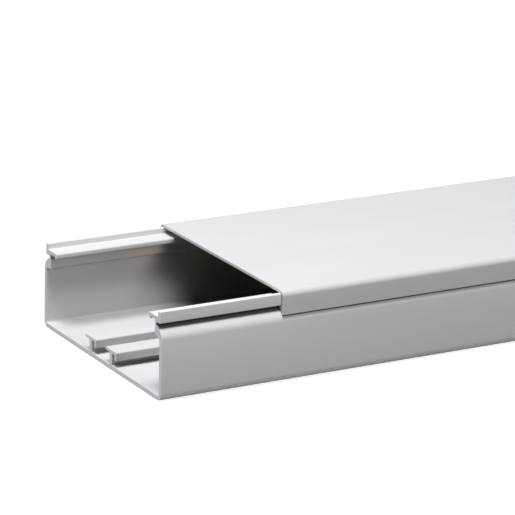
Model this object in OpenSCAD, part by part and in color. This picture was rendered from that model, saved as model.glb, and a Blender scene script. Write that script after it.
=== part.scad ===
// Plastic cable trunking with a clip-on lid, as sold by the stock length.
// The base is one extrusion: floor, two walls, a clip edge along each wall and two hooked rails on the floor.
// The lid is a second extrusion whose hooks run in the grooves of the clip edges.
// X runs along the length, Y across the width and Z up from the underside, with the origin at the
// middle of the underside. All sizes are in millimetres.

/* [Trunking] */
// Length that base and lid are sold in
stock_length = 2000; // [250:10:3000]
// Outside width over the walls
trunking_width = 110; // [80:1:200]
// Height from the underside to the top of the fitted lid
trunking_height = 40; // [36:0.5:100]
// How far the lid is drawn back from the open end
lid_setback = 57; // [0:1:200]
// Running clearance between lid and base
clip_clearance = 0.3; // [0.2:0.05:0.4]
// Gap between the lips and the flat plate that rests on them
seat_gap = 0.1; // [0.05:0.05:0.3]

/* [Base] */
// Thickness of floor and walls
base_wall = 2.1; // [1.2:0.1:2.4]
// Outside radius where the walls meet the floor
floor_corner_radius = 3.5; // [2.5:0.1:5]
// Inside radius where the walls meet the floor
floor_inside_radius = 0.8; // [0.4:0.1:2]

/* [Clip edge] */
// Outside radius of the shoulder that turns each wall inwards
shoulder_radius = 6; // [5.6:0.1:7]
// Thickness of the shoulder from its top to its underside
shoulder_thickness = 4.9; // [3:0.1:5.4]
// Radius of the fillet under the shoulder
shoulder_fillet = 1.2; // [0.6:0.1:1.6]
// Distance from the outside of the wall to the neck
neck_setback = 4.8; // [4.3:0.1:5.4]
// Thickness of the neck that carries the ledge
neck_thickness = 1.4; // [1.2:0.1:2]
// Radius of the neck's lower inside edge
neck_edge_radius = 0.8; // [0.4:0.1:1]
// Height of the groove over the top of the shoulder
groove_height = 1; // [0.8:0.1:1.6]
// Height of the ledge over the groove
ledge_height = 2.6; // [2:0.1:3]
// Radius of the ledge's lower outside edge
ledge_edge_radius = 0.5; // [0.3:0.1:1.6]
// Height of the upright lip over the ledge
lip_height = 2.5; // [1.5:0.1:3]
// Thickness of the upright lip
lip_thickness = 2; // [1.4:0.1:2.4]
// Radius of the lip's top edges
lip_edge_radius = 0.3; // [0.2:0.05:0.6]
// Distance from the outside of the wall to the shelf's tip
shelf_reach = 11.7; // [10:0.1:16]
// Thickness of the shelf
shelf_thickness = 1.7; // [1.2:0.1:2]
// Width of the bead that hangs from the shelf's tip
bead_width = 1.6; // [0.8:0.1:2]
// Height of the shelf with its bead
bead_height = 2.6; // [2:0.1:3.5]

/* [Floor rails] */
// Distance between the two rails, centre to centre
rail_spacing = 19; // [17:0.5:30]
// Height of the rails over the floor
rail_height = 6.8; // [5:0.1:12]
// Thickness of a rail's stem
rail_stem = 2.3; // [1.5:0.1:3]
// Width of a rail's head
rail_head_width = 10; // [9:0.5:12]
// Thickness of a rail's head
rail_head_thickness = 1.4; // [1:0.1:1.8]
// Radius of the fillets under a rail's head
rail_fillet = 0.8; // [0.4:0.1:1]
// Height of the lip along one side of a rail, from the top of the head
rail_lip_height = 4; // [3:0.1:4.6]
// Thickness of that lip
rail_lip_thickness = 1.6; // [1.2:0.1:2]

/* [Fixing slots] */
// Number of slots in the floor, along the centre line
slot_count = 8; // [1:1:12]
// Distance between slots, centre to centre
slot_pitch = 250; // [100:5:500]
// Length of a slot
slot_length = 14; // [8:0.5:30]
// Width of a slot
slot_width = 6; // [4:0.5:8]

/* [Lid] */
// Thickness of the lid's plate and flanges
lid_wall = 1.3; // [1:0.1:1.8]
// Outside radius of the lid's long edges
lid_edge_radius = 2.4; // [1.9:0.1:3]
// Inside radius of the lid's long edges
lid_inside_radius = 0.3; // [0.1:0.05:0.3]
// Thickness left at the lower edge of the flanges
flange_tip = 0.3; // [0.2:0.05:0.6]
// How far the hooks reach in from the outside of the flanges
hook_reach = 3.6; // [3:0.1:4]
// Radius of the hooks' upper edge
hook_edge_radius = 0.3; // [0.2:0.05:0.4]

/* [Hidden] */
$fn = 96;

half_width = trunking_width / 2;
half_length = stock_length / 2;

// Levels of the clip edge, worked down from the lid
lip_top = trunking_height - lid_wall - seat_gap;
ledge_top = lip_top - lip_height;
ledge_bottom = ledge_top - ledge_height;
shoulder_top = ledge_bottom - groove_height;
shoulder_start = shoulder_top - shoulder_radius;
shoulder_bottom = shoulder_top - shoulder_thickness;

// Distances of the clip edge in from the outside of the wall
lip_outside = lid_wall + clip_clearance;
lip_inside = lip_outside + lip_thickness;
neck_inside = neck_setback + neck_thickness;

rail_top = base_wall + rail_height;
rail_head_bottom = rail_top - rail_head_thickness;

// Cut radius that keeps flanges and hooks clear of the shoulders, and the levels where they end
flange_cut_radius = shoulder_radius + clip_clearance;
flange_bottom = shoulder_start + sqrt(pow(flange_cut_radius, 2) - pow(shoulder_radius - flange_tip, 2));
hook_top = ledge_bottom - clip_clearance;

// Rectangle between two opposite corners
module box(from, to) {
  translate(from) square(to - from);
}

// Runs a section, drawn as seen along X, from one end of the stock to the other
module extrude_stock() {
  translate([-half_length, 0, 0]) rotate([90, 0, 90]) linear_extrude(stock_length) children();
}

// Draws the child, given as distances in from the wall's outside, at both edges of the section
module both_edges() {
  for (side = [0, 1])
    mirror([side, 0]) translate([half_width, 0]) mirror([1, 0]) children();
}

// Quarter of a disc that fills the corner at the origin, round towards minus x and minus y
module quarter_disc(radius) {
  intersection() {
    translate([radius, radius]) circle(radius);
    square(radius);
  }
}

// Concave fillet in the corner at the origin, towards plus x and minus y
module inside_fillet(radius) {
  difference() {
    box([0, -radius], [radius, 0]);
    translate([radius, -radius]) circle(radius);
  }
}

// Corner between two walls at the origin, round outside and filleted inside
module edge_corner(outside, wall, inside) {
  difference() {
    quarter_disc(outside);
    box([wall, wall], [outside, outside]);
  }
  translate([wall, wall]) mirror([0, 1]) inside_fillet(inside);
}

module floor_corner() {
  edge_corner(floor_corner_radius, base_wall, floor_inside_radius);
}

// Solid shoulder, round outside and flat underneath
module shoulder() {
  difference() {
    translate([0, shoulder_top]) mirror([0, 1]) quarter_disc(shoulder_radius);
    box([base_wall, shoulder_start], [shoulder_radius, shoulder_bottom]);
  }
  translate([base_wall, shoulder_bottom]) inside_fillet(shoulder_fillet);
}

// Neck that runs up from the shoulder, with a round lower inside edge
module neck() {
  edge = neck_inside - neck_edge_radius;
  box([neck_setback, shoulder_bottom], [edge, ledge_top]);
  box([edge, shoulder_bottom + neck_edge_radius], [neck_inside, ledge_top]);
  translate([edge, shoulder_bottom + neck_edge_radius]) circle(neck_edge_radius);
}

// Upright lip with round top edges
module lip() {
  box([lip_outside, ledge_bottom + ledge_edge_radius], [lip_inside, lip_top - lip_edge_radius]);
  box([lip_outside + lip_edge_radius, ledge_top], [lip_inside - lip_edge_radius, lip_top]);
  for (edge = [lip_outside + lip_edge_radius, lip_inside - lip_edge_radius])
    translate([edge, lip_top - lip_edge_radius]) circle(lip_edge_radius);
}

// Ledge over the groove, with a round lower outside edge
module ledge() {
  box([lip_outside + ledge_edge_radius, ledge_bottom], [neck_inside, ledge_top]);
  translate([lip_outside + ledge_edge_radius, ledge_bottom + ledge_edge_radius]) circle(ledge_edge_radius);
}

// Shelf that reaches in over the duct, with a round bead along its tip
module shelf() {
  bead_radius = bead_width / 2;
  bead_middle = shelf_reach - bead_radius;
  bead_ends = [ledge_top - bead_height + bead_radius, ledge_top - bead_radius];
  box([lip_inside, ledge_top - shelf_thickness], [bead_middle, ledge_top]);
  box([bead_middle - bead_radius, bead_ends[0]], [shelf_reach, bead_ends[1]]);
  for (level = bead_ends)
    translate([bead_middle, level]) circle(bead_radius);
}

module clip_edge() {
  box([0, floor_corner_radius], [base_wall, shoulder_start]);
  shoulder();
  neck();
  ledge();
  lip();
  shelf();
}

// Lip turned down along one side of a rail's head, with a round lower edge
module rail_lip() {
  outside = rail_head_width / 2;
  inside = outside - rail_lip_thickness;
  tip = rail_top - rail_lip_height + rail_lip_thickness / 2;
  box([inside, tip], [outside, rail_top - rail_head_thickness / 2]);
  translate([(inside + outside) / 2, tip]) circle(rail_lip_thickness / 2);
  translate([inside, rail_head_bottom]) mirror([1, 0]) inside_fillet(rail_fillet);
}

// Rail on the floor, whose lip hooks clips and dividers
module rail() {
  head_end = (rail_head_width - rail_head_thickness) / 2;
  box([-rail_stem / 2, base_wall / 2], [rail_stem / 2, rail_top - rail_head_thickness / 2]);
  box([-head_end, rail_head_bottom], [head_end, rail_top]);
  mirror([1, 0]) rail_lip();
  for (side = [0, 1])
    mirror([side, 0]) {
      translate([head_end, rail_top - rail_head_thickness / 2]) circle(rail_head_thickness / 2);
      translate([rail_stem / 2, rail_head_bottom]) inside_fillet(rail_fillet);
    }
}

module base_section() {
  box([-half_width + floor_corner_radius, 0], [half_width - floor_corner_radius, base_wall]);
  both_edges() {
    floor_corner();
    clip_edge();
  }
  for (side = [-1, 1])
    translate([side * rail_spacing / 2, 0]) rail();
}

// Slot through the floor, centred on the origin and running along X
module fixing_slot() {
  half_straight = (slot_length - slot_width) / 2;
  translate([0, 0, -base_wall])
    linear_extrude(3 * base_wall) {
      box([-half_straight, -slot_width / 2], [half_straight, slot_width / 2]);
      for (end = [-1, 1])
        translate([end * half_straight, 0]) circle(slot_width / 2);
    }
}

module base() {
  color([0.89, 0.89, 0.89])
    difference() {
      extrude_stock() base_section();
      for (index = [0 : slot_count - 1])
        translate([(index - (slot_count - 1) / 2) * slot_pitch, 0, 0]) fixing_slot();
    }
}

// Round long edge of the lid, which clears the lip inside
module lid_edge() {
  translate([0, trunking_height])
    mirror([0, 1]) edge_corner(lid_edge_radius, lid_wall, lid_inside_radius);
}

// Block of the hook, with a round upper edge, before it is hollowed
module hook_block() {
  tip = hook_reach - hook_edge_radius;
  box([lid_wall / 2, flange_bottom], [tip, hook_top]);
  box([tip, flange_bottom], [hook_reach, hook_top - hook_edge_radius]);
  translate([tip, hook_top - hook_edge_radius]) circle(hook_edge_radius);
}

// Flange with its hook, hollowed underneath to follow the shoulder
module flange() {
  difference() {
    union() {
      box([0, flange_bottom], [lid_wall, trunking_height - lid_edge_radius]);
      hook_block();
    }
    translate([shoulder_radius, shoulder_start]) circle(flange_cut_radius);
  }
}

module lid_section() {
  plate_end = half_width - lid_edge_radius;
  box([-plate_end, trunking_height - lid_wall], [plate_end, trunking_height]);
  both_edges() {
    lid_edge();
    flange();
  }
}

module lid() {
  color([0.85, 0.86, 0.86])
    translate([lid_setback, 0, 0]) extrude_stock() lid_section();
}

base();
lid();
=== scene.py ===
"""Cable trunking with its lid drawn back from the open end, dressed for a studio picture.

All lengths are in metres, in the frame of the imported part: X along the length, Y across, Z up.
"""
import math

import bmesh
import bpy
from mathutils import Matrix, Vector


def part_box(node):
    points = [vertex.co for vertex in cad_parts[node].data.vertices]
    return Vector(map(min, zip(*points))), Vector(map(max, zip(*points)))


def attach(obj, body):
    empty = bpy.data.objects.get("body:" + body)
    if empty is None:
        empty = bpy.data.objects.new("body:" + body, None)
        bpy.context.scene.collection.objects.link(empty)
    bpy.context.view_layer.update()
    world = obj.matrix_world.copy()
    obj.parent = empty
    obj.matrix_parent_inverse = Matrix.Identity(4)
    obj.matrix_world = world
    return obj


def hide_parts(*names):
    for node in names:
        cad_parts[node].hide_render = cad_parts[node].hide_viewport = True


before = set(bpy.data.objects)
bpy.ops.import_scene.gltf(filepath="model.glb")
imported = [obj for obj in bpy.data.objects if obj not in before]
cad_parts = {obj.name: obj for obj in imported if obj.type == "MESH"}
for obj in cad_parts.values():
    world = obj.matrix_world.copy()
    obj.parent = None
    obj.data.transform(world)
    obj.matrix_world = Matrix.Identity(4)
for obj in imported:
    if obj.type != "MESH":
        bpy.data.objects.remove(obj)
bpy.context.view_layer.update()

MM = 0.001
BASE_LOW, BASE_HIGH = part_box("base")
LID_LOW, LID_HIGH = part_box("lid")
HALF_WIDTH = BASE_HIGH.y
OPEN_END = BASE_LOW.x

# Picture: where the camera stands, and the pixel of the middle of the open end's foot
PICTURE_SIDE = 515
CAMERA_AZIMUTH = math.radians(-29.87)
CAMERA_ELEVATION = math.radians(17.29)
CAMERA_ROLL = math.radians(1.44)
CAMERA_DISTANCE = 1.332
FOCAL_PIXELS = 3130
FOOT_PIXEL = (100.5, 362.8)
SENSOR_WIDTH = 36
VIEW_REACH = 50

# Plain colours for the backdrop, and to darken and lighten others
BLACK = (0, 0, 0, 1)
WHITE = (1, 1, 1, 1)

# Floor paper: its colour for the light that it spreads, and its shade and glow to the eye
FLOOR_SIDE = 16
FLOOR_DROP = 0.2 * MM
FLOOR_BOUNCE = (0.2, 0.2, 0.2, 1)
FLOOR_SHADE = (0.35, 0.35, 0.35, 1)
FLOOR_GLOW = 0.86

# Wide lamps for the whole stock: direction to the lamp, spread in degrees, strength and tint
NEUTRAL = (1, 1, 1)
WARM = (1, 0.98, 0.96)
WARMER = (1, 0.965, 0.94)
COOL = (0.985, 1, 1.015)
COOLER = (0.96, 1, 1.04)
SOFT_LAMPS = {
    "overhead": ((-0.21, 0, 0.98), 20, 0.63, COOLER),
    "high_front": ((0, -0.31, 0.95), 24, 0.08, NEUTRAL),
    "front_light": ((0.10, -0.95, 0.31), 12, 0.20, WARMER),
    "end_light": ((-0.96, 0.25, 0.12), 8, 0.27, WARM),
    "back_light": ((0.17, 0.98, 0.11), 8, 0.24, NEUTRAL),
    "far_end_light": ((0.98, 0.17, 0.11), 8, 0.24, NEUTRAL),
}

# Softboxes near the open end: place, diameter, watts and tint
SOFTBOX_AIM = (-0.95, 0, 0.02)
SOFTBOXES = {
    "main_box": ((-0.98, -0.15, 0.45), 0.15, 0.40, COOL),
    "left_box": ((-1.06, -0.12, 0.45), 0.12, 0.40, COOL),
    "side_box": ((-0.96, -0.30, 0.25), 0.10, 0.07, WARM),
}

# Section of the base, as distances in from the wall's outside and heights over the underside
BASE_WALL = 2.1 * MM
FLOOR_CORNER = 3.5 * MM
FLOOR_INSIDE = 0.8 * MM
SHOULDER_RADIUS = 6 * MM
SHOULDER_THICKNESS = 4.9 * MM
SHOULDER_FILLET = 1.2 * MM
NECK_SETBACK = 4.8 * MM
NECK_THICKNESS = 1.4 * MM
NECK_EDGE = 0.8 * MM
GROOVE_HEIGHT = 1 * MM
LEDGE_HEIGHT = 2.6 * MM
LEDGE_EDGE = 0.5 * MM
LIP_HEIGHT = 2.5 * MM
LIP_THICKNESS = 2 * MM
LIP_EDGE = 0.3 * MM
SHELF_REACH = 11.7 * MM
SHELF_THICKNESS = 1.7 * MM
BEAD_WIDTH = 1.6 * MM
BEAD_HEIGHT = 2.6 * MM
RAIL_OFFSET = 9.5 * MM
RAIL_HEIGHT = 6.8 * MM
RAIL_STEM = 2.3 * MM
RAIL_HEAD_WIDTH = 10 * MM
RAIL_HEAD_THICKNESS = 1.4 * MM
RAIL_FILLET = 0.8 * MM
RAIL_LIP_HEIGHT = 4 * MM
RAIL_LIP_THICKNESS = 1.6 * MM
INSIDE_CORNER = 0.25 * MM
BROKEN_EDGE = 0.2 * MM

# Fixing slots along the middle of the floor
SLOT_COUNT = 8
SLOT_PITCH = 250 * MM
SLOT_LENGTH = 14 * MM
SLOT_WIDTH = 6 * MM
SLOT_STEPS = 8
SLOT_MARGIN = 3 * MM

# Section of the lid
LID_WALL = 1.3 * MM
CLEARANCE = 0.3 * MM
LID_EDGE = 2.4 * MM
LID_INSIDE = 0.3 * MM
FLANGE_TIP = 0.3 * MM
HOOK_REACH = 3.6 * MM
HOOK_EDGE = 0.3 * MM

# Levels that base and lid share
LEDGE_BOTTOM = BASE_HIGH.z - LIP_HEIGHT - LEDGE_HEIGHT
SHOULDER_START = LEDGE_BOTTOM - GROOVE_HEIGHT - SHOULDER_RADIUS

# Mesh: steps round an arc, nearly half-round edges, and the burr taken off the sawn ends
ARC_STEP = math.radians(11)
LEAST_STEPS = 2
HALF_ROUND = 0.49
SAWN_EDGE = 0.1 * MM
MITRE_LIMIT = 0.5
SHARP_ANGLE = math.radians(30)

# Finish: body colours, painted shade in recesses, and wear
BASE_COLOUR = (0.80, 0.80, 0.80, 1)
LID_COLOUR = (0.67, 0.67, 0.67, 1)
# Near-black colour of the painted shade in recesses, grooves and along the flange tips
PAINTED_SHADE_COLOUR = (0.06, 0.055, 0.05, 1)
WORN_COLOUR = (0.84, 0.84, 0.84, 1)
BASE_RECESS_SHADE = 0.9
LID_RECESS_SHADE = 0.6
WEAR_SHARE = 0.2
SAW_SHARE = 0.3
SAWN_LIMITS = (0.75, 0.95)
RECESS_REACH = 3 * MM
RECESS_LIMITS = (0.5, 0.1)
EDGE_REACH = 0.5 * MM
EDGE_LIMITS = (0.92, 0.55)
OPENNESS_SAMPLES = 16

# Grain of the finish: features per metre along, across and up, and their detail
DRAWN_LINES = ((2.5, 1400, 1400), 3)
CLOUDING = ((14, 40, 40), 4)
SAW_MARKS = ((0, 90, 900), 3)
LINE_SHARE = 0.2
CLOUD_SHARE = 0.8
SHADE_LIMITS = (0.3, 0.7)
SHADE_CONTRAST = 0.03
RELIEF_STRENGTH = 0.08
RELIEF_DEPTH = 0.03 * MM

# Gloss and roughness
GLOSS = 0.1
LEAST_ROUGHNESS = 0.37
CLOUD_ROUGHNESS = 0.16
SAWN_ROUGHNESS = 0.2
RECESS_ROUGHNESS = 0.2

# Painted shade: in the base's grooves by depth, neck, ledge and shoulder, and on the lid's flange
# tips
GROOVE_SHADE = 0.85
GROOVE_DEPTHS = (1.7 * MM, 2.6 * MM)
NECK_SHARES = (0.6, 0.3)
LEDGE_FADE = 0.06 * MM
SHOULDER_SHARES = (0.6, 0.65)
FLANGE_SHADE = 0.97
FLANGE_HEIGHTS = (0.7 * MM, 0.5 * MM)

# Light that bounces off the plastic: its colour over a long way, and the share a short way loses
BOUNCE_COLOUR = (0.09, 0.07, 0.055, 1)
BOUNCE_LENGTHS = (8 * MM, 32 * MM)
NEAR_LOSS = 0.25


def rounded_outline(corners):
    """Points of a closed outline, from corners given as (across, up, radius of their arc)."""
    points = []
    for index, (across, up, radius) in enumerate(corners):
        here = Vector((across, up))
        before = Vector(corners[index - 1][:2])
        after = Vector(corners[(index + 1) % len(corners)][:2])
        to_before = (before - here).normalized()
        to_after = (after - here).normalized()
        inside = to_before.angle(to_after)
        if radius <= 0:
            points.append(here)
            continue
        reach = radius / math.tan(inside / 2)
        centre = here + (to_before + to_after).normalized() * radius / math.sin(inside / 2)
        start = here + to_before * reach - centre
        end = here + to_after * reach - centre
        turn = start.angle_signed(end)
        steps = max(LEAST_STEPS, math.ceil(abs(turn) / ARC_STEP))
        for step in range(steps + 1):
            points.append(centre + Matrix.Rotation(-turn * step / steps, 2) @ start)
    return points


def mirrored(half):
    """The other half of an outline, in the order that goes on from this one."""
    return [(-across, up, radius) for across, up, radius in reversed(half)]


def round_shoulder(radius, first, last):
    """Points of an arc round the shoulder's centre, between two distances in from the outside."""
    centre = HALF_WIDTH - SHOULDER_RADIUS
    first_angle = math.acos((SHOULDER_RADIUS - first) / radius)
    last_angle = math.acos((SHOULDER_RADIUS - last) / radius)
    steps = math.ceil(abs(last_angle - first_angle) / ARC_STEP)
    points = []
    for step in range(steps + 1):
        angle = first_angle + (last_angle - first_angle) * step / steps
        across = centre + radius * math.cos(angle)
        points.append((across, SHOULDER_START + radius * math.sin(angle), 0))
    return points


def base_corners():
    """Section of the base: a clip edge on each side, and two hooked rails on the floor."""
    lip_top = BASE_HIGH.z
    ledge_top = lip_top - LIP_HEIGHT
    shoulder_bottom = SHOULDER_START + SHOULDER_RADIUS - SHOULDER_THICKNESS
    lip_outside = HALF_WIDTH - LID_WALL - CLEARANCE
    lip_inside = lip_outside - LIP_THICKNESS
    neck_outside = HALF_WIDTH - NECK_SETBACK
    neck_inside = neck_outside - NECK_THICKNESS
    tip = HALF_WIDTH - SHELF_REACH
    wall_inside = HALF_WIDTH - BASE_WALL
    shelf_bottom = ledge_top - SHELF_THICKNESS
    bead_bottom = ledge_top - BEAD_HEIGHT
    bead_radius = HALF_ROUND * BEAD_WIDTH
    clip = [
        (HALF_WIDTH, 0, FLOOR_CORNER),
        *round_shoulder(SHOULDER_RADIUS, 0, NECK_SETBACK),
        (neck_outside, LEDGE_BOTTOM, INSIDE_CORNER),
        (lip_outside, LEDGE_BOTTOM, LEDGE_EDGE),
        (lip_outside, lip_top, LIP_EDGE),
        (lip_inside, lip_top, LIP_EDGE),
        (lip_inside, ledge_top, INSIDE_CORNER),
        (tip, ledge_top, bead_radius),
        (tip, bead_bottom, bead_radius),
        (tip + BEAD_WIDTH, bead_bottom, BROKEN_EDGE),
        (tip + BEAD_WIDTH, shelf_bottom, BROKEN_EDGE),
        (neck_inside, shelf_bottom, INSIDE_CORNER),
        (neck_inside, shoulder_bottom, NECK_EDGE),
        (wall_inside, shoulder_bottom, SHOULDER_FILLET),
        (wall_inside, BASE_WALL, FLOOR_INSIDE),
    ]
    rails = rail_corners(RAIL_OFFSET) + rail_corners(-RAIL_OFFSET)
    return clip + rails + mirrored(clip)


def rail_corners(middle):
    """Hooked rail, from its plain side over the head and round the lip to its other foot."""
    rail_top = BASE_WALL + RAIL_HEIGHT
    head_bottom = rail_top - RAIL_HEAD_THICKNESS
    head_radius = HALF_ROUND * RAIL_HEAD_THICKNESS
    lip_bottom = rail_top - RAIL_LIP_HEIGHT
    lip_radius = HALF_ROUND * RAIL_LIP_THICKNESS
    stem_near, stem_far = middle - RAIL_STEM / 2, middle + RAIL_STEM / 2
    head_near, head_far = middle - RAIL_HEAD_WIDTH / 2, middle + RAIL_HEAD_WIDTH / 2
    lip_inside = head_near + RAIL_LIP_THICKNESS
    return [
        (stem_far, BASE_WALL, INSIDE_CORNER),
        (stem_far, head_bottom, RAIL_FILLET),
        (head_far, head_bottom, head_radius),
        (head_far, rail_top, head_radius),
        (head_near, rail_top, head_radius),
        (head_near, lip_bottom, lip_radius),
        (lip_inside, lip_bottom, lip_radius),
        (lip_inside, head_bottom, RAIL_FILLET),
        (stem_near, head_bottom, RAIL_FILLET),
        (stem_near, BASE_WALL, INSIDE_CORNER),
    ]


def lid_corners():
    """Section of the lid: a flat plate, and two flanges with a hook along the inside."""
    top = LID_HIGH.z
    hook_top = LEDGE_BOTTOM - CLEARANCE
    inside = HALF_WIDTH - LID_WALL
    half = [
        (inside, top - LID_WALL, LID_INSIDE),
        (inside, hook_top, INSIDE_CORNER),
        (HALF_WIDTH - HOOK_REACH, hook_top, HOOK_EDGE),
        *round_shoulder(SHOULDER_RADIUS + CLEARANCE, HOOK_REACH, FLANGE_TIP),
        (HALF_WIDTH, LID_LOW.z, 0),
        (HALF_WIDTH, top, LID_EDGE),
    ]
    return half + mirrored(half)


def shrunk(outline, depth):
    """Outline drawn in by a depth, for the broken edges of a sawn end."""
    points = []
    for index, here in enumerate(outline):
        before = (here - outline[index - 1]).normalized()
        after = (outline[(index + 1) % len(outline)] - here).normalized()
        inward = (before.orthogonal() + after.orthogonal()).normalized()
        mitre = max(MITRE_LIMIT, inward.dot(after.orthogonal()))
        points.append(here + inward * depth / mitre)
    return points


def slot_outline():
    """Points of a fixing slot round its centre, with one on each axis."""
    straight = (SLOT_LENGTH - SLOT_WIDTH) / 2
    radius = SLOT_WIDTH / 2
    points = []
    for end in (1, -1):
        for step in range(SLOT_STEPS + 1):
            angle = math.pi * (step / SLOT_STEPS - 0.5)
            along = straight + radius * math.cos(angle)
            points.append(Vector((end * along, end * radius * math.sin(angle))))
        points.append(Vector((0, end * radius)))
    return points


def plate_round_slot(bm, corners, loop, centre):
    """Flat faces between a slot and the corners of its stretch of floor, keyed by their sides."""
    def side(first, second):
        middle = (first.co + second.co) / 2
        return (1 if middle.x > centre else -1, 1 if middle.y > 0 else -1)

    for index, here in enumerate(loop):
        following = loop[(index + 1) % len(loop)]
        before = side(loop[index - 1], here)
        after = side(here, following)
        bm.faces.new((here, following, corners[after]))
        if before != after:
            bm.faces.new((here, corners[after], corners[before]))


def punched_stretch(bm, first, second, centre):
    """Floor between two rings, with a slot punched through it."""
    half = len(first) // 2
    loops = []
    for left, right in ((half, half - 1), (-1, 0)):
        corners = {(-1, -1): first[left], (-1, 1): first[right],
                   (1, -1): second[left], (1, 1): second[right]}
        height = first[left].co.z
        loop = [bm.verts.new((centre + p.x, p.y, height)) for p in slot_outline()]
        plate_round_slot(bm, corners, loop, centre)
        loops.append(loop)
    upper, lower = loops
    for index in range(len(upper)):
        bm.faces.new((upper[index - 1], upper[index], lower[index], lower[index - 1]))


def stock(name, corners, low, high, slots, material):
    """Extrusion of an outline between two sawn ends, with slots punched through its floor."""
    outline = rounded_outline(corners)
    ends = shrunk(outline, SAWN_EDGE)
    reach = SLOT_LENGTH / 2 + SLOT_MARGIN
    stations = [(low, ends), (low + SAWN_EDGE, outline)]
    for centre in slots:
        stations += [(centre - reach, outline), (centre + reach, outline)]
    stations += [(high - SAWN_EDGE, outline), (high, ends)]
    bm = bmesh.new()
    rings = [[bm.verts.new((x, p.x, p.y)) for p in points] for x, points in stations]
    count = len(outline)
    for first, second in zip(rings, rings[1:]):
        middle = (first[0].co.x + second[0].co.x) / 2
        slot = next((centre for centre in slots if abs(centre - middle) < SLOT_MARGIN), None)
        for index in range(count):
            if slot is None or index not in (count // 2 - 1, count - 1):
                following = (index + 1) % count
                bm.faces.new((first[index], second[index], second[following], first[following]))
        if slot is not None:
            punched_stretch(bm, first, second, slot)
    bm.faces.new(rings[0])
    bm.faces.new(rings[-1])
    return piece_from(bm, name, material)


def piece_from(bm, name, material):
    """Finished piece with smooth arcs and sharp corners."""
    mesh = bpy.data.meshes.new(name)
    bmesh.ops.recalc_face_normals(bm, faces=bm.faces)
    for face in bm.faces:
        face.smooth = True
    bm.to_mesh(mesh)
    bm.free()
    mesh.set_sharp_from_angle(angle=SHARP_ANGLE)
    mesh.materials.append(material)
    piece = bpy.data.objects.new(name, mesh)
    bpy.context.scene.collection.objects.link(piece)
    return piece


def feed(tree, socket, source):
    """Gives a socket a plain value or the output of another node."""
    if isinstance(source, bpy.types.NodeSocket):
        tree.links.new(source, socket)
    else:
        socket.default_value = source


def arithmetic(tree, operation, *values):
    """Result of one operation on plain values or outputs."""
    node = tree.nodes.new("ShaderNodeMath")
    node.operation = operation
    for socket, value in zip(node.inputs, values):
        feed(tree, socket, value)
    return node.outputs["Value"]


def product(tree, first, *others):
    """Product of shares."""
    for other in others:
        first = arithmetic(tree, "MULTIPLY", first, other)
    return first


def ramp(tree, value, start, end, low=0):
    """Soft step from low at start to 1 at end."""
    node = tree.nodes.new("ShaderNodeMapRange")
    node.interpolation_type = "SMOOTHSTEP"
    feed(tree, node.inputs["Value"], value)
    node.inputs["From Min"].default_value = start
    node.inputs["From Max"].default_value = end
    node.inputs["To Min"].default_value = low
    return node.outputs["Result"]


def blend(tree, share, first, second):
    """Colour between two colours."""
    node = tree.nodes.new("ShaderNodeMix")
    node.data_type = "RGBA"
    feed(tree, node.inputs["Factor"], share)
    feed(tree, node.inputs[6], first)
    feed(tree, node.inputs[7], second)
    return node.outputs[2]


def grain(tree, stretch, detail):
    """Noise with its features stretched along the axes, given as features per metre."""
    place = tree.nodes.new("ShaderNodeTexCoord")
    scale = tree.nodes.new("ShaderNodeMapping")
    scale.inputs["Scale"].default_value = stretch
    noise = tree.nodes.new("ShaderNodeTexNoise")
    noise.inputs["Scale"].default_value = 1
    noise.inputs["Detail"].default_value = detail
    tree.links.new(place.outputs["Object"], scale.inputs["Vector"])
    tree.links.new(scale.outputs["Vector"], noise.inputs["Vector"])
    return noise.outputs["Fac"]


def openness(tree, reach, inside):
    """1 on an open face and less in a recess, or with inside less on an outer edge."""
    look = tree.nodes.new("ShaderNodeAmbientOcclusion")
    look.samples = OPENNESS_SAMPLES
    look.inside = inside
    look.inputs["Distance"].default_value = reach
    return look.outputs["AO"]


def sawn_ends(tree):
    """1 on the sawn ends and 0 elsewhere."""
    geometry = tree.nodes.new("ShaderNodeNewGeometry")
    parts = tree.nodes.new("ShaderNodeSeparateXYZ")
    tree.links.new(geometry.outputs["Normal"], parts.inputs["Vector"])
    return ramp(tree, arithmetic(tree, "ABSOLUTE", parts.outputs["X"]), *SAWN_LIMITS)


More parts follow.
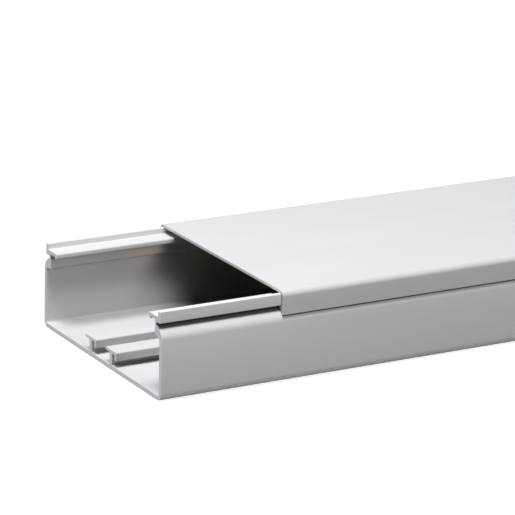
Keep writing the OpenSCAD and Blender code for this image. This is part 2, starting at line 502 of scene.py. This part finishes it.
def extruded_finish():
    """Finish of base and lid: drawn lines, clouding, painted shade in recesses, worn edges and
    sawn ends.
    """
    group = bpy.data.node_groups.new("extruded_finish", "ShaderNodeTree")
    for name, way, kind in (
        ("Body", "INPUT", "NodeSocketColor"),
        ("Recess Shade", "INPUT", "NodeSocketFloat"),
        ("Colour", "OUTPUT", "NodeSocketColor"),
        ("Roughness", "OUTPUT", "NodeSocketFloat"),
        ("Relief", "OUTPUT", "NodeSocketFloat"),
    ):
        group.interface.new_socket(name=name, in_out=way, socket_type=kind)
    given = group.nodes.new("NodeGroupInput").outputs
    result = group.nodes.new("NodeGroupOutput").inputs

    lines = grain(group, *DRAWN_LINES)
    clouds = grain(group, *CLOUDING)
    marks = grain(group, *SAW_MARKS)
    ends = sawn_ends(group)
    recess_shade = ramp(group, openness(group, RECESS_REACH, False), *RECESS_LIMITS)
    worn = ramp(group, openness(group, EDGE_REACH, True), *EDGE_LIMITS)

    clouded = product(group, clouds, CLOUD_SHARE)
    shade = arithmetic(group, "MULTIPLY_ADD", lines, LINE_SHARE, clouded)
    dark = blend(group, SHADE_CONTRAST, given["Body"], BLACK)
    light = blend(group, SHADE_CONTRAST, given["Body"], WHITE)
    colour = blend(group, ramp(group, shade, *SHADE_LIMITS), dark, light)
    colour = blend(group, product(group, worn, WEAR_SHARE), colour, WORN_COLOUR)
    colour = blend(group, product(group, ends, marks, SAW_SHARE), colour, WORN_COLOUR)
    # Painted shade: recesses are darkened towards a near-black colour, where shade falls
    colour = blend(group, product(group, recess_shade, given["Recess Shade"]), colour, PAINTED_SHADE_COLOUR)
    feed(group, result["Colour"], colour)

    roughness = arithmetic(group, "MULTIPLY_ADD", clouds, CLOUD_ROUGHNESS, LEAST_ROUGHNESS)
    roughness = arithmetic(group, "MULTIPLY_ADD", ends, SAWN_ROUGHNESS, roughness)
    roughness = arithmetic(group, "MULTIPLY_ADD", recess_shade, RECESS_ROUGHNESS, roughness)
    feed(group, result["Roughness"], roughness)

    relief = product(group, lines, arithmetic(group, "SUBTRACT", 1, ends))
    relief = arithmetic(group, "MULTIPLY_ADD", marks, ends, relief)
    feed(group, result["Relief"], relief)
    return group


def place_on_stock(tree):
    """Where a spot lies along, across and up the stock, as outputs X, Y and Z."""
    place = tree.nodes.new("ShaderNodeTexCoord")
    parts = tree.nodes.new("ShaderNodeSeparateXYZ")
    tree.links.new(place.outputs["Object"], parts.inputs["Vector"])
    return parts.outputs


def groove_shade(tree):
    """Share of painted shade on the base: in the grooves under its ledges, and not on its sawn
    ends.
    """
    place = place_on_stock(tree)
    across = arithmetic(tree, "ABSOLUTE", place["Y"])
    depth = arithmetic(tree, "SUBTRACT", HALF_WIDTH, across)
    neck = [NECK_SETBACK + share * NECK_THICKNESS for share in NECK_SHARES]
    shoulder = [SHOULDER_START + share * SHOULDER_RADIUS for share in SHOULDER_SHARES]
    return product(
        tree,
        GROOVE_SHADE,
        ramp(tree, depth, *GROOVE_DEPTHS),
        ramp(tree, depth, *neck),
        ramp(tree, place["Z"], LEDGE_BOTTOM + LEDGE_FADE, LEDGE_BOTTOM),
        ramp(tree, place["Z"], *shoulder),
        arithmetic(tree, "SUBTRACT", 1, sawn_ends(tree)),
    )


def flange_shade(tree):
    """Share of painted shade on the lid: a dark line along the tips of its flanges."""
    height = place_on_stock(tree)["Z"]
    start, full = (LID_LOW.z + rise for rise in FLANGE_HEIGHTS)
    return product(tree, FLANGE_SHADE, ramp(tree, height, start, full))


def extruded_plastic(name, colour, recess_share, painted_shade, finish):
    """Plastic with the shared finish, darkened further by a mask of painted shade. Light that it
    sends on is mostly lost over a long way.
    """
    material = bpy.data.materials.new(name)
    material.use_nodes = True
    tree = material.node_tree
    shader = tree.nodes["Principled BSDF"]
    shader.inputs["Specular IOR Level"].default_value = GLOSS
    surface = tree.nodes.new("ShaderNodeGroup")
    surface.node_tree = finish
    surface.inputs["Body"].default_value = colour
    surface.inputs["Recess Shade"].default_value = recess_share
    bump = tree.nodes.new("ShaderNodeBump")
    bump.inputs["Strength"].default_value = RELIEF_STRENGTH
    bump.inputs["Distance"].default_value = RELIEF_DEPTH
    path = tree.nodes.new("ShaderNodeLightPath").outputs
    lost = ramp(tree, path["Ray Length"], *BOUNCE_LENGTHS, low=NEAR_LOSS)
    bounced = product(tree, path["Is Diffuse Ray"], lost)
    # Painted shade from the given mask: in the base's grooves, or along the lid's flange tips
    shaded_colour = blend(tree, painted_shade(tree), surface.outputs["Colour"], PAINTED_SHADE_COLOUR)
    feed(tree, shader.inputs["Base Color"], blend(tree, bounced, shaded_colour, BOUNCE_COLOUR))
    tree.links.new(surface.outputs["Roughness"], shader.inputs["Roughness"])
    tree.links.new(surface.outputs["Relief"], bump.inputs["Height"])
    tree.links.new(bump.outputs["Normal"], shader.inputs["Normal"])
    return material


def studio_camera():
    """Camera at the picture's viewing angle, aimed by the pixel of the open end's foot."""
    camera = bpy.data.objects.new("camera", bpy.data.cameras.new("camera"))
    bpy.context.scene.collection.objects.link(camera)
    bpy.context.scene.camera = camera
    camera.data.sensor_width = SENSOR_WIDTH
    camera.data.lens = SENSOR_WIDTH * FOCAL_PIXELS / PICTURE_SIDE
    camera.data.clip_end = VIEW_REACH
    level = Vector((math.cos(CAMERA_AZIMUTH), math.sin(CAMERA_AZIMUTH), 0))
    back = Vector((math.sin(CAMERA_AZIMUTH) * math.cos(CAMERA_ELEVATION),
                   -math.cos(CAMERA_AZIMUTH) * math.cos(CAMERA_ELEVATION),
                   math.sin(CAMERA_ELEVATION)))
    upright = back.cross(level)
    right = level * math.cos(CAMERA_ROLL) + upright * math.sin(CAMERA_ROLL)
    up = upright * math.cos(CAMERA_ROLL) - level * math.sin(CAMERA_ROLL)
    pixel = CAMERA_DISTANCE / FOCAL_PIXELS
    foot = Vector((OPEN_END, 0, 0))
    aside = (FOOT_PIXEL[0] - PICTURE_SIDE / 2) * pixel
    below = (FOOT_PIXEL[1] - PICTURE_SIDE / 2) * pixel
    place = foot - right * aside + up * below + back * CAMERA_DISTANCE
    turn = Matrix((right, up, back)).transposed().to_4x4()
    camera.matrix_world = Matrix.Translation(place) @ turn


def seen_directly(tree):
    """1 on rays from the camera, from a gloss or through glass, and 0 on light that spreads."""
    path = tree.nodes.new("ShaderNodeLightPath").outputs
    gloss_or_glass = arithmetic(
        tree, "MAXIMUM", path["Is Glossy Ray"], path["Is Transmission Ray"])
    return arithmetic(tree, "MAXIMUM", path["Is Camera Ray"], gloss_or_glass)


def studio_backdrop():
    """Backdrop that is white to the eye and gives no light."""
    world = bpy.data.worlds.new("white_backdrop")
    bpy.context.scene.world = world
    world.use_nodes = True
    backdrop = world.node_tree.nodes["Background"].inputs
    backdrop["Color"].default_value = WHITE
    feed(world.node_tree, backdrop["Strength"], seen_directly(world.node_tree))


def floor_paper():
    """Paper that spreads little light, and is white to the eye with the object's shadow on it."""
    material = bpy.data.materials.new("floor_paper")
    material.use_nodes = True
    tree = material.node_tree
    tree.nodes.remove(tree.nodes["Principled BSDF"])
    spread = tree.nodes.new("ShaderNodeBsdfDiffuse")
    spread.inputs["Color"].default_value = FLOOR_BOUNCE
    paper = tree.nodes.new("ShaderNodeBsdfDiffuse")
    paper.inputs["Color"].default_value = FLOOR_SHADE
    glow = tree.nodes.new("ShaderNodeEmission")
    glow.inputs["Strength"].default_value = FLOOR_GLOW
    white = tree.nodes.new("ShaderNodeAddShader")
    tree.links.new(paper.outputs["BSDF"], white.inputs[0])
    tree.links.new(glow.outputs["Emission"], white.inputs[1])
    choice = tree.nodes.new("ShaderNodeMixShader")
    tree.links.new(seen_directly(tree), choice.inputs["Fac"])
    tree.links.new(spread.outputs["BSDF"], choice.inputs[1])
    tree.links.new(white.outputs["Shader"], choice.inputs[2])
    tree.links.new(choice.outputs["Shader"], tree.nodes["Material Output"].inputs["Surface"])
    return material


def studio_floor():
    """Wide sheet of paper, just under the stock."""
    mesh = bpy.data.meshes.new("floor")
    side = FLOOR_SIDE / 2
    corners = [(-side, -side, 0), (side, -side, 0), (side, side, 0), (-side, side, 0)]
    mesh.from_pydata(corners, [], [(0, 1, 2, 3)])
    mesh.materials.append(floor_paper())
    floor = bpy.data.objects.new("floor", mesh)
    floor.location.z = -FLOOR_DROP
    bpy.context.scene.collection.objects.link(floor)


def lamp_piece(name, lamp, tint, towards):
    """Lamp that shines along the way back from a direction."""
    lamp.color = tint
    piece = bpy.data.objects.new(name, lamp)
    piece.rotation_euler = Vector(towards).to_track_quat("Z", "Y").to_euler()
    bpy.context.scene.collection.objects.link(piece)
    return piece


def studio_lamps():
    """Wide lamps all round, and softboxes near the open end."""
    for name, (direction, spread, strength, tint) in SOFT_LAMPS.items():
        lamp = bpy.data.lights.new(name, "SUN")
        lamp.angle = math.radians(spread)
        lamp.energy = strength * math.pi
        lamp_piece(name, lamp, tint, direction)
    for name, (place, diameter, watts, tint) in SOFTBOXES.items():
        lamp = bpy.data.lights.new(name, "AREA")
        lamp.shape = "DISK"
        lamp.size = diameter
        lamp.energy = watts
        lamp_piece(name, lamp, tint, Vector(place) - Vector(SOFTBOX_AIM)).location = place


def stands_for(piece, node):
    """A finished piece that rides on its body and stands for its solid."""
    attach(piece, node)
    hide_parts(node)


studio_camera()
studio_backdrop()
studio_floor()
studio_lamps()
bpy.context.scene.view_settings.view_transform = "Standard"

finish = extruded_finish()
base_plastic = extruded_plastic("base_plastic", BASE_COLOUR, BASE_RECESS_SHADE, groove_shade, finish)
lid_plastic = extruded_plastic("lid_plastic", LID_COLOUR, LID_RECESS_SHADE, flange_shade, finish)
slots = [(index - (SLOT_COUNT - 1) / 2) * SLOT_PITCH for index in range(SLOT_COUNT)]

channel = stock("channel", base_corners(), BASE_LOW.x, BASE_HIGH.x, slots, base_plastic)
stands_for(channel, "base")
cover = stock("cover", lid_corners(), LID_LOW.x, LID_HIGH.x, [], lid_plastic)
stands_for(cover, "lid")
